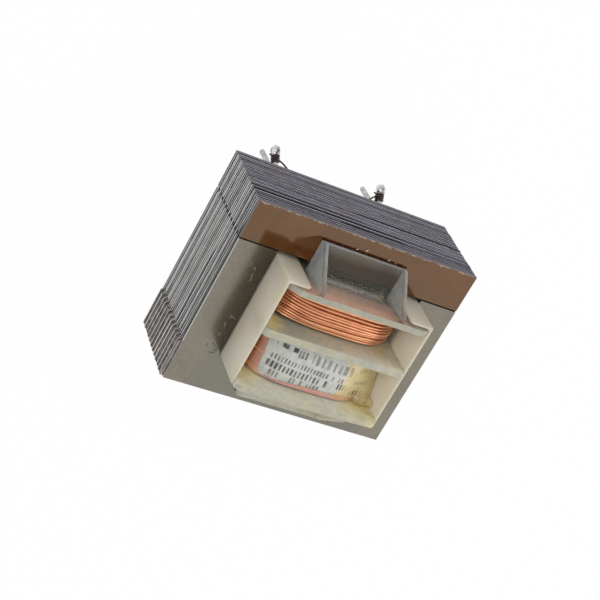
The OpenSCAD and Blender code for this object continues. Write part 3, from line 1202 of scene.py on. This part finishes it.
@dataclass(frozen=True)
class Bobbin:
    """The moulded former with its flanges, pockets and pin rails."""

    edge: float = 0.1
    warped_from: float = 24.5
    warped_over: float = 3.0
    lean: float = 0.3
    # the clear glue lies in the corner between the pocket's floor and the flange
    glue_y: float = -6.55
    glue_z: float = 23.3
    glue_half: float = 4.5
    specks: int = 130
    threads: Pair = (0.12, 0.5)
    thread_from: float = 4.6
    thread_length: float = 8.6
    thread_radius: float = 0.03
    # each bead's middle and size
    beads: tuple[tuple[Place, float], ...] = (
        ((-9.2, -0.2, 28.15), 0.3), ((-9.0, 0.15, 28.15), 0.18), ((-9.3, 0.3, 28.05), 0.12),
    )

    def warp(self, p: Vector) -> Vector:
        """Moves a point as the moulding has warped.

        Args:
            p: the point as it was drawn.

        Returns:
            Where it is now.
        """
        if p.z < self.warped_from:
            return p
        lift = min(1.0, (p.z - self.warped_from) / self.warped_over)
        lean = self.lean * max(0.0, p.x / 9.5) ** 0.7 if p.y > 6 else 0.0
        along = lean + 0.06 * wander(p.x * 0.2, p.y * 0.6, 3.0)
        return p + lift * Vector((0.0, along, -0.06 * abs(wander(p.x * 0.3, p.y, 9.0))))

    def residue(self) -> None:
        """Adds the crumbs and threads of clear glue left where the pocket's floor meets the flange."""
        draft, profile = Draft(), ((-1.8, 0.3), (-0.7, 1.0), (0.7, 1.0), (1.8, 0.3))
        for k in range(self.specks):
            x = self.glue_half * (1 - 2 * (k + 1.8 * wander(k * 1.7, 0.0, 0.0)) / self.specks)
            off = abs(0.8 + 1.4 * wander(k * 2.3, 4.0, 0.0))
            upright = (x, self.glue_y, self.glue_z + off)
            lying = (x, self.glue_y - 0.05 - off / 2, self.glue_z + 0.02)
            size = 0.025 + 0.05 * abs(wander(k * 3.1, 8.0, 0.0))
            way = (1.0, 0.0, wander(k * 1.3, 2.0, 0.0))
            draft.bead(upright if k % 3 else lying, way, size, profile, sides=6)
        steps = 50
        for height in self.threads:
            path, radii = [], []
            for k in range(steps + 1):
                z = self.glue_z + height + 0.12 * wander(k * 0.35, height * 9, 1.0)
                path.append(Vector((self.thread_from - self.thread_length * k / steps, self.glue_y, z)))
                radii.append(self.thread_radius * (1 + wander(k * 0.5, height, 5.0)))
            draft.tube(path, radii, sides=6)
        glue = PouredVarnish("dried_clear_glue", "#eeeef0", "#d8d8da", 0.5)
        draft.piece("glue_residue", glue, Slot.VARNISH)

    def flange_bead(self) -> None:
        """Adds the bead of varnish at the middle flange's end, whose whitish body is partly a painted
        highlight.
        """
        draft, profile = Draft(), ((-1, 0.2), (-0.75, 0.7), (0, 1), (0.75, 0.7), (1, 0.2))
        for centre, size in self.beads:
            draft.bead(centre, (1.0, 0.0, 0.0), size, profile, sides=10)
        draft.piece("flange_bead", PouredVarnish("clear_bead", "#f4f2ea", "#f2f0e8", 0.55), Slot.VARNISH)

    def build(self) -> None:
        """Makes the moulding and the glue on it."""
        softened("bobbin", "moulded_bobbin", NaturalNylon(), Slot.NYLON, self.edge, self.warp)
        self.residue()
        self.flange_bead()


@dataclass(frozen=True)
class Shrouds:
    """The two insulating channels beside the windings."""

    edge: float = 0.08
    warped_from: float = 27.0
    sag: float = 0.1

    def warp(self, p: Vector) -> Vector:
        """Moves a point as the sheet has sagged along its upper edge."""
        sag = self.sag * abs(wander(p.x * 0.5, p.y * 0.4, 2.0)) if p.z > self.warped_from else 0.0
        return p - Vector((0.0, 0.0, sag))

    def build(self) -> None:
        """Makes both shrouds."""
        for side in ("left", "right"):
            node = f"{side}_shroud"
            softened(node, f"folded_{node}", CreamShroud(), Slot.SHROUD, self.edge, self.warp)


@dataclass(frozen=True)
class Chamber:
    """The room for one winding round the tube, which swells in the middle and may stay full
    towards its high side."""

    low: float
    high: float
    depth: float
    swell: float = 0.5
    half_w: float = 9.0
    half_h: float = 7.1
    middle: float = 16.25
    squareness: float = 3.6
    full: float = 0.0

    def at(self, share: float) -> float:
        """The place along the tube at a share of the room's length."""
        return self.low + (self.high - self.low) * share

    def point(self, angle: float, y: float, out: float) -> Vector:
        """A point on the winding's surface.

        Args:
            angle: round the tube from +X over the top.
            y: along the tube.
            out: how far it lies outside the surface.

        Returns:
            The point.
        """
        t = held(2 * (y - self.low) / (self.high - self.low) - 1, -1.0)
        fall = t * t * (1 - self.full if t > 0 else 1.0)
        reach = self.depth - self.swell + 2 * self.swell * (1 - fall)
        c, s = math.cos(angle), math.sin(angle)
        x, z = (math.copysign(abs(part) ** (2 / self.squareness), part) for part in (c, s))
        return Vector(((self.half_w + out) * x, y, self.middle + (self.half_h + reach + out) * z))


@dataclass(frozen=True)
class Secondary:
    """The low-voltage winding: single turns of thick wire in two visible layers."""

    room: Chamber = Chamber(-5.74, -0.66, 2.5)
    wire: float = 0.165
    turns: int = 13
    around: int = 110
    body_depth: float = 0.75
    unevenness: float = 0.07

    def layer(self, draft: Draft, turns: int, sink: float, seed: float, stray: float) -> None:
        """Winds one layer as a single run of wire.

        Args:
            draft: what it is added to.
            turns: how many turns it has.
            sink: how far it lies below the winding's surface.
            seed: sets how the turns stray.
            stray: how far they stray.
        """
        steps = turns * self.around
        low, high = self.room.low + self.wire, self.room.high - self.wire
        path, tones = [], []
        for k in range(steps + 1):
            turn, share = k / self.around, k / steps
            a = math.tau * turn
            c, s = math.cos(a), math.sin(a)
            loose = stray * min(1.0, 6 * share, 6 * (1 - share))
            y = low + share * (high - low) + loose * wander(1.6 * c + seed, 1.6 * s, turn * 0.8)
            sink_here = sink + self.unevenness * (1 - wander(2.2 * c, 2.2 * s + seed, turn * 0.9))
            path.append(self.room.point(a, held(y, low, high), -self.wire - sink_here))
            tones.append(0.5 + 0.45 * wander(seed, int(turn) * 3.3, 0.5) + 0.25 * wander(c + turn, s, seed))
        draft.tube(path, self.wire, tone=tones)

    def body(self) -> None:
        """Adds the mass of turns under the visible layers, coloured dark as painted shade between the turns.
        """
        draft, steps = Draft(), 12

        def place(v: float, u: float) -> Vector:
            """A point of it, whose surface goes in and out from row to row."""
            out = 0.06 * math.cos(math.pi * steps * v) - self.body_depth
            return self.room.point(math.tau * u, self.room.at(v), out)

        draft.rows(grid(steps, 96, place, wrap=True), wrap=True, tone=0.0)
        # dark copper colour: painted shade deep between the turns
        buried = EnamelledCopper("copper_body_in_painted_shade", bright="#8a4020", deep="#4a1c0c", metallic=0.3)
        draft.piece("secondary_body", buried, Slot.THICK)

    def build(self) -> None:
        """Winds the turns."""
        draft = Draft()
        self.layer(draft, self.turns + 2, sink=0.3, seed=5.0, stray=0.1)
        self.layer(draft, self.turns, sink=0.0, seed=1.0, stray=0.22)
        draft.piece("secondary_turns", EnamelledCopper(), Slot.THICK, ["secondary_winding"])
        self.body()


@dataclass(frozen=True)
class Primary:
    """The mains winding: wire too fine to draw singly, so its ridges stand 0.15 mm apart, about
    twice the real spacing."""

    room: Chamber = Chamber(0.36, 6.64, 2.9, full=1.0)
    pitch: float = 0.15
    height: float = 0.03
    sunk: float = 0.05
    lumps: float = 0.03
    rows_each: int = 4
    around: int = 132

    def build(self) -> None:
        """Makes the ridged surface of the winding."""
        draft = Draft()
        steps = int((self.room.high - self.room.low) / self.pitch) * self.rows_each

        def place(v: float, u: float) -> Vector:
            """A point on a ridge or between two.

            Args:
                v: share of the way along the winding.
                u: share of the way round it.

            Returns:
                The point.
            """
            a, y = math.tau * u, self.room.at(v)
            ridge = self.height * abs(math.sin(math.pi * v * steps / self.rows_each))
            lump = self.lumps * wander(2 * math.cos(a), 2 * math.sin(a), y * 0.8)
            return self.room.point(a, y, ridge + lump - self.sunk)

        tones = []
        for k in range(steps + 1):
            ridge, row = divmod(k, self.rows_each)
            # the first row of each ridge lies in the hollow between ridges and is toned darker: painted shade
            tones.append(0.45 + 0.6 * wander(ridge * 1.7, 0.3, 2.0) - (0.0 if row else 0.25))
        draft.rows(grid(steps, self.around, place, wrap=True), wrap=True, tone=tones)
        draft.piece("primary_turns", FineCopper(), Slot.FINE, ["primary_winding"])


@dataclass(frozen=True)
class Label:
    """The paper label over the mains winding, with its print left as plain dashes."""

    room: Chamber = Chamber(0.36, 6.64, 2.9, full=1.0)
    left: float = 7.0
    slant: float = 0.5
    near: float = 0.46
    far: float = 6.5
    askew: float = 0.55
    askew_over: float = 7.0
    cut_corner: float = 0.4
    corner_over: float = 0.5
    end_angle: float = math.radians(172)
    lift: float = 0.06
    curl: float = 0.22
    curl_over: float = 1 / 15
    curl_below: float = 0.45
    wave: float = 0.02
    arch: float = 0.3
    thickness: float = 0.08
    laid_from: float = -6.8
    wall: float = -9.46
    foot: float = 21.7
    rise: float = 0.49

    def edge_angle(self, x: float) -> float:
        """The angle at which the winding's surface is at x."""
        return math.acos(min(1.0, abs(x) / self.room.half_w) ** (self.room.squareness / 2))

    def point(self, angle: float, y: float, out: float) -> Vector:
        """A point on the paper, which leaves the winding at one end and meets the shroud.

        Args:
            angle: round the tube from +X over the top.
            y: along the tube.
            out: how far it lies outside the winding.

        Returns:
            The point.
        """
        left_at = math.pi - self.edge_angle(self.laid_from)
        if angle <= left_at:
            return self.room.point(angle, y, out)
        share = (angle - left_at) / (self.end_angle - left_at)
        stop = Vector((self.wall, y, self.foot + self.rise * y + out))
        arch = Vector((0, 0, self.arch * math.sin(math.pi * share)))
        return self.room.point(left_at, y, out).lerp(stop, share) + arch

    def place(self, v: float, u: float) -> Vector:
        """A point of the sheet, a little wavy and loose at one corner.

        Args:
            v: share of the way down the label.
            u: share of the way round it.

        Returns:
            The point.
        """
        start = self.edge_angle(self.left - self.slant * v)
        a = start + (self.end_angle - start) * u
        x = self.room.point(a, self.near, 0.0).x
        inside = (self.left - self.slant - x) / self.corner_over
        corner = max(0.0, 1 - inside) if x < self.left else 1.0
        far = self.far - self.askew * held((self.left - x) / self.askew_over) - self.cut_corner * corner
        y = self.near + (far - self.near) * v
        curl = self.curl * max(0.0, 1 - u / self.curl_over) ** 2 * max(0.0, v - self.curl_below)
        wave = self.wave * wander(x * 0.7, y * 0.9, 1.0)
        return self.point(a, y, self.lift + abs(wave) + curl)

    def build(self) -> None:
        """Lays the paper down and gives it its thickness."""
        draft = Draft()
        draft.rows(grid(26, 90, self.place))
        made = draft.piece("paper_label", CoatedPaper(), Slot.PAPER, ["label"])
        solid = made.modifiers.new("paper thickness", "SOLIDIFY")
        solid.thickness = self.thickness * MM
        solid.offset = 0.0


@dataclass(frozen=True)
class Varnish:
    """The varnish run over the label's end and into the corner beside it."""

    label: Label = Label()
    start: float = math.radians(103)
    near: float = 0.5
    far: float = 6.58
    ragged: float = 0.09
    above: float = 0.1
    thick: float = 0.11
    pooled: float = 0.3
    pooled_from: float = 0.86
    lumps: float = 0.02
    drop_at: Place = (-7.9, 6.05, 25.5)
    drop_half: Place = (1.3, 0.75, 0.75)
    # it is drawn out to a point on the shroud, and stops at the shroud and the flange
    drawn_out: Place = (-0.7, 0.1, 0.5)
    shroud_x: float = -9.53
    flange_y: float = 6.63
    # each speck's middle and size
    specks_at: tuple[tuple[Place, float], ...] = (
        ((-8.2, 5.95, 26.2), 0.09), ((-8.9, 5.9, 25.95), 0.06),
        ((-8.5, 5.6, 26.05), 0.05), ((-9.3, 6.0, 25.8), 0.05),
    )

    def film_place(self, v: float, u: float) -> Vector:
        """A point of the thin film over the label's end.

        Args:
            v: share of the way down the label.
            u: share of the way round, from the film's start.

        Returns:
            The point.
        """
        y = self.near + (self.far - self.near) * v
        start = self.start + self.ragged * wander(y * 0.8, 4.0, 0.0)
        thick = self.thick * min(1.0, 9 * u) ** 0.5 + self.pooled * max(0.0, v - self.pooled_from) * u
        a = start + (self.label.end_angle - start) * u
        return self.label.point(a, y, self.above + thick + self.lumps * wander(5 * u, 4 * v, 2.0))

    def drop_place(self, v: float, u: float) -> Vector:
        """A point of the drop hardened in the corner of the flange and the shroud.

        Args:
            v: share from pole to pole.
            u: share round it.

        Returns:
            The point.
        """
        way = ball_way(v, u, Vector((1, 0, 0)), Vector((0, 1, 0)), Vector((0, 0, 1)))
        size = 1.0 + 0.2 * wander(*(way * 1.1))
        p = Vector(self.drop_at) + way * Vector(self.drop_half) * size
        p += max(0.0, -way.x) ** 4 * Vector(self.drawn_out)
        return Vector((max(self.shroud_x, p.x), min(self.flange_y, p.y), p.z))

    def build(self) -> None:
        """Makes the film, the drop, and the dark specks caught in the varnish."""
        draft = Draft()
        draft.rows(grid(30, 44, self.film_place))
        draft.piece("varnish_film", PouredVarnish(), Slot.VARNISH)
        draft = Draft()
        draft.rows(grid(24, 36, self.drop_place, wrap=True), wrap=True)
        clear = PouredVarnish("varnish_corner_drop", "#f9efcf", "#ecdcae", 0.4)
        draft.piece("varnish_corner", clear, Slot.VARNISH, ["varnish_drop"])
        draft, profile = Draft(), ((-1, 0.4), (-0.4, 1), (0.4, 1), (1, 0.4))
        for centre, size in self.specks_at:
            draft.bead(centre, (0.0, 1.0, 0.0), size, profile, sides=8)
        draft.piece("varnish_specks", DarkEnamel("burnt_specks", "#3a2c1c", "#1c140c"), Slot.VARNISH)


@dataclass(frozen=True)
class Terminal:
    """One bent pin with its leg for the board, its post, the wire wrapped on it and the solder."""

    number: int
    x_side: int
    y_side: int
    pitch_x: float = 15.0
    pitch_y: float = 20.0
    shift: float = 0.15
    radius: float = 0.35
    bend_z: float = 6.8
    leg_top: float = 7.3
    lean: float = 0.5
    post: float = 3.95
    angle: float = math.radians(45)
    wire: float = 0.12
    turns: float = 4.2
    wrap_from: float = 1.22
    wrap_length: float = 1.1
    solder_radius: float = 0.58
    solder_half: float = 0.68

    @property
    def foot(self) -> Vector:
        """Where the post leaves the leg."""
        x, y = self.x_side * self.pitch_x / 2, self.y_side * self.pitch_y / 2 + self.shift
        return Vector((x, y, self.bend_z))

    @property
    def tip(self) -> Vector:
        """The post's end.

        Returns:
            The point.
        """
        lean = self.lean if self.x_side > 0 else 0.0
        along, down = self.post * math.cos(self.angle), self.post * math.sin(self.angle)
        return self.foot + Vector((lean, along * self.y_side, -down))

    @property
    def axes(self) -> tuple[Vector, Vector, Vector]:
        """The post's own directions.

        Returns:
            The way along the post from its end, and two ways across it.
        """
        axis = (self.foot - self.tip).normalized()
        across = axis.orthogonal().normalized()
        return axis, across, axis.cross(across)

    def rounded(self, start: Vector, end: Vector) -> tuple[list[Vector], list[float]]:
        """A rod's centre line and radii with a rounded end.

        Args:
            start: its plain end.
            end: its rounded end.

        Returns:
            The points and their radii.
        """
        way = end - start
        length, nose = way.length, 0.8 * self.radius
        stops = [length * k / 12 for k in range(12)] + [length - nose]
        stops = sorted(s for s in stops if s <= length - nose)
        points, radii = [], []
        for s in stops + [length - self.radius * s for s in (0.5, 0.25, 0.1, 0.0)]:
            left = min(1.0, (length - s) / nose)
            taper = max(0.12, math.sqrt(1 - (1 - left) ** 2))
            points.append(start + way * (s / length))
            radii.append(self.radius * taper * (1 + 0.03 * wander(s * 1.7, self.number * 3.0, 0.0)))
        return points, radii

    def rods(self) -> None:
        """Adds the leg and the post."""
        draft, foot = Draft(), self.foot
        leg = (Vector((foot.x, foot.y, self.leg_top)), Vector((foot.x, foot.y, 0.0)))
        for start, end in (leg, (foot, self.tip)):
            draft.tube(*self.rounded(start, end), sides=20)
        draft.piece(f"bent_pin_{self.number}", TinnedWire(), Slot.PIN, [f"terminal_{self.number}"])

    def wrap(self) -> None:
        """Adds the turns of enamelled wire round the post, with a short tail."""
        draft, path, around = Draft(), [], 18
        axis, u, v = self.axes
        for k in range(int(self.turns * around) + 1):
            a = math.tau * k / around
            along = self.wrap_from + self.wrap_length * k / (self.turns * around)
            r = self.radius + self.wire + 0.03 * wander(a * 0.35, self.number * 5.0, 0.0)
            path.append(self.tip + axis * along + r * (math.cos(a) * u + math.sin(a) * v))
        draft.tube(path, self.wire, sides=7)
        away = (path[0] - path[1]).normalized() + axis * 0.12
        tail = [path[0] + away * s - v * 0.25 * s * s for s in (0.0, 0.15, 0.3, 0.45)]
        draft.tube(tail, self.wire * 0.9, sides=7)
        draft.piece(f"wrapped_wire_{self.number}", DarkEnamel(), Slot.DARK_WIRE, [f"wire_wrap_{self.number}"])

    def solder_place(self, v: float, u: float) -> Vector:
        """A point of the blob of solder on the post's end.

        Args:
            v: share from pole to pole.
            u: share round it.

        Returns:
            The point.
        """
        axis, across, over = self.axes
        way = ball_way(v, u, across, over, Vector((0, 0, 0)))
        pole = math.cos(math.pi * v)
        lump = 1 + 0.28 * wander(way.x * 2.2 + self.number * 9.0, way.y * 2.2, way.z * 2.2 + pole)
        centre = self.tip + axis * self.solder_half
        return centre + (way * self.solder_radius - axis * self.solder_half * pole) * lump

    def build(self) -> None:
        """Makes the pin, its wire and its solder."""
        self.rods()
        self.wrap()
        draft = Draft()
        draft.rows(grid(16, 24, self.solder_place, wrap=True), wrap=True)
        bright = TinnedWire("bright_solder", "#f0f0f2", "#3a3a3f", 0.16, 1.3)
        draft.piece(f"solder_blob_{self.number}", bright, Slot.SOLDER, [f"solder_{self.number}"])
        dress(f"lead_{self.number}", DarkEnamel())


# ---------------------------------------------------------------- studio


@dataclass(frozen=True)
class Camera:
    """Where the camera stands, given round a target as azimuth, elevation and roll."""

    target: Vector = Vector((0.855, 0.520, 16.03))
    distance: float = 202.86
    azimuth: float = math.radians(48.94)
    elevation: float = math.radians(54.32)
    roll: float = math.radians(155.29)
    lens: float = 100.27

    def build(self) -> None:
        """Makes the camera and hands it to the scene."""
        ca, sa, ce, se = (turn(a) for a in (self.azimuth, self.elevation) for turn in (math.cos, math.sin))
        back = Vector((sa * ce, -ca * ce, se))
        level, upright = Vector((ca, sa, 0)), Vector((-sa * se, ca * se, ce))
        right = math.cos(self.roll) * level + math.sin(self.roll) * upright
        up = math.cos(self.roll) * upright - math.sin(self.roll) * level
        data = bpy.data.cameras.new("camera")
        data.lens = self.lens
        data.sensor_width = 36.0
        data.clip_start, data.clip_end = 0.01, 10.0
        made = placed("camera", data)
        turned = Matrix((right, up, back)).transposed().to_4x4()
        made.matrix_world = Matrix.Translation((self.target + back * self.distance) * MM) @ turned
        bpy.context.scene.camera = made


@dataclass(frozen=True)
class Lamp:
    """One soft box, aimed at the object."""

    name: str
    place: Place
    watts: float
    size: float = 300.0
    colour: str = "#ffffff"

    def build(self, target: Vector) -> None:
        """Makes the lamp.

        Args:
            target: what it is aimed at.
        """
        data = bpy.data.lights.new(self.name, "AREA")
        data.shape = "DISK"
        data.size = self.size * MM
        data.energy = self.watts
        data.color = linear(self.colour)[:3]
        made = placed(self.name, data)
        made.location = Vector(self.place) * MM
        made.rotation_mode = "QUATERNION"
        made.rotation_quaternion = (target * MM - made.location).to_track_quat("-Z", "Y")


@dataclass(frozen=True)
class Studio:
    """The pale floor, the white surround and the soft boxes."""

    target: Vector = Vector((0.0, 0.0, 16.0))
    floor_radius: float = 1500.0
    floor_white: float = 0.98
    surround: float = 0.5
    lamps: tuple[Lamp, ...] = (
        Lamp("key", (250.0, -160.0, 320.0), 0.56),
        Lamp("side", (-320.0, -120.0, 220.0), 0.5),
        Lamp("top", (-220.0, 200.0, 360.0), 0.27),
    )

    def floor(self) -> None:
        """Adds a pale floor that shows white but keeps the object's shadow."""
        n, r = 64, self.floor_radius * MM
        rim = [(r * math.cos(math.tau * i / n), r * math.sin(math.tau * i / n), 0.0) for i in range(n)]
        mesh = bpy.data.meshes.new("floor")
        mesh.from_pydata(rim, [], [tuple(range(n))])
        made = placed("floor", mesh)
        material = bpy.data.materials.new("painted_white_board")
        material.use_nodes = True
        g = Graph(material.node_tree)
        path = g.add("LightPath").outputs
        seen = g.product(g.most(path["Is Camera Ray"], path["Is Glossy Ray"]), self.floor_white)
        shine = g.out("Emission", {"Color": "#ffffff", "Strength": 1.0})
        board = g.out("BsdfPrincipled", {"Base Color": "#f4f4f4", "Roughness": 0.8})
        g.add("OutputMaterial", {"Surface": g.blend(seen, board, shine)})
        mesh.materials.append(material)

    def surroundings(self) -> None:
        """Adds white as seen or mirrored, which is softer as a source of light."""
        world = bpy.data.worlds.new("surround")
        bpy.context.scene.world = world
        world.use_nodes = True
        g = Graph(world.node_tree)
        path = g.add("LightPath").outputs
        shown = g.most(path["Is Camera Ray"], path["Is Transmission Ray"], path["Is Glossy Ray"])
        strength = g.remap(shown, onto=(self.surround, 1.0))
        g.add("OutputWorld", {"Surface": g.out("Background", {"Color": "#ffffff", "Strength": strength})})

    def build(self) -> None:
        """Sets the stage."""
        self.floor()
        self.surroundings()
        for lamp in self.lamps:
            lamp.build(self.target)
        bpy.context.scene.view_settings.view_transform = "Standard"


def main() -> None:
    """Builds the object and its stage."""
    logging.basicConfig(level=logging.INFO, format="%(message)s")
    Camera().build()
    Studio().build()
    Core().build()
    Bobbin().build()
    Shrouds().build()
    Secondary().build()
    Primary().build()
    Label().build()
    Varnish().build()
    for number, (x_side, y_side) in enumerate(((1, -1), (-1, -1), (1, 1), (-1, 1)), start=1):
        Terminal(number, x_side, y_side).build()


if __name__ == "__main__":
    main()
